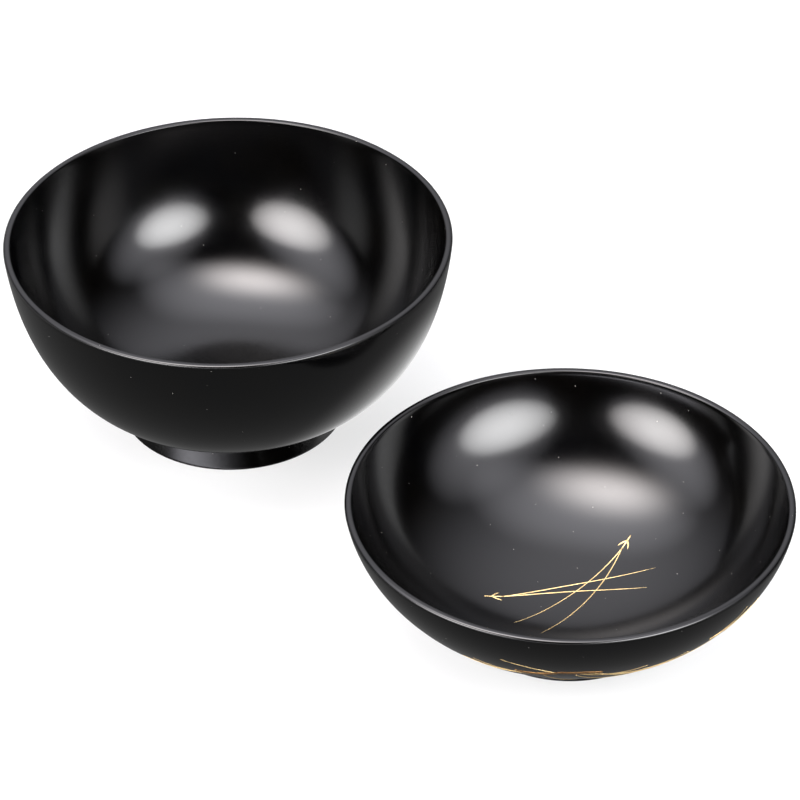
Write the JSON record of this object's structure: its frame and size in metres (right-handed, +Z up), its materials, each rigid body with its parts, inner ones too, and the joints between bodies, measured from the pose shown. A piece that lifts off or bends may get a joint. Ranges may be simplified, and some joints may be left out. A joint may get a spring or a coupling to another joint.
{
  "type": "lidded rice bowl",
  "caption": "Turned black lacquer rice bowl on a foot ring, with a loose lid that lies upside down beside it as a dish and turns over onto the bowl's mouth.",
  "frame": {"origin": "centre of the footprint's box, on the surface that both pieces stand on", "axes": "+X from the bowl's centre to the lid's centre, +Z up"},
  "size_m": [0.2642, 0.1298, 0.06],
  "materials": {
    "black_lacquer_bowl": "semi-gloss lacquer",
    "black_lacquer_lid": "semi-gloss lacquer",
    "gold_line": "fine raised gold line"
  },
  "bodies": {
    "bowl": {"bowl": "black_lacquer_bowl"},
    "lid": {"lid": "black_lacquer_lid"}
  },
  "joints": [
    {"name": "lid_turn_over", "type": "hinge", "parent": "bowl", "child": "lid", "pos_m": [0.0018, 0, 0.05045], "axis": [0, -1, 0], "range_deg": [0, 180]}
  ]
}
